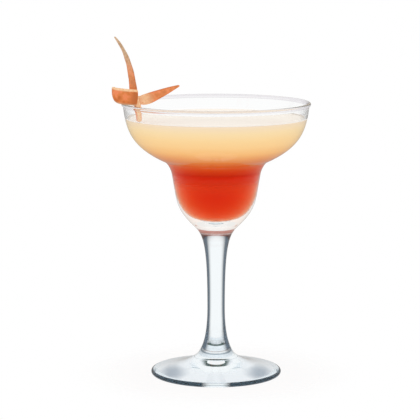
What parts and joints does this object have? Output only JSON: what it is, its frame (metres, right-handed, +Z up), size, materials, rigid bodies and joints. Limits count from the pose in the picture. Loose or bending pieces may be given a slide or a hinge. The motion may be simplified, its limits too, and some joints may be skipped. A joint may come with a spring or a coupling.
{
  "type": "margarita glass",
  "caption": "Stemmed margarita glass with a saucer-over-cup bowl on a disc foot, filled with a layered drink, with a knot of orange peel on its rim.",
  "frame": {"origin": "centre of the foot's underside, on the plane that the glass stands on", "axes": "+Z up along the stem; -Y is the front, and the peel sits at the front left of the rim"},
  "size_m": [0.1208, 0.1164, 0.2121],
  "materials": {
    "clear_glass": "clear polished glass",
    "red_drink": "clear red liquid",
    "orange_drink": "cloudy orange liquid",
    "cream_drink": "cloudy cream liquid",
    "orange_peel": "fresh orange peel, waxy zest and pale pith"
  },
  "bodies": {
    "glass": {"bowl": "clear_glass", "stem": "clear_glass", "foot": "clear_glass", "drink_base": "red_drink", "drink_blend": "orange_drink", "drink_top": "cream_drink"},
    "garnish": {"peel_spear": "orange_peel", "peel_band": "orange_peel"}
  },
  "joints": [
    {"name": "garnish_lift", "type": "slide", "parent": "glass", "child": "garnish", "axis": [0, 0, 1], "range_m": [0, 0.05]}
  ]
}
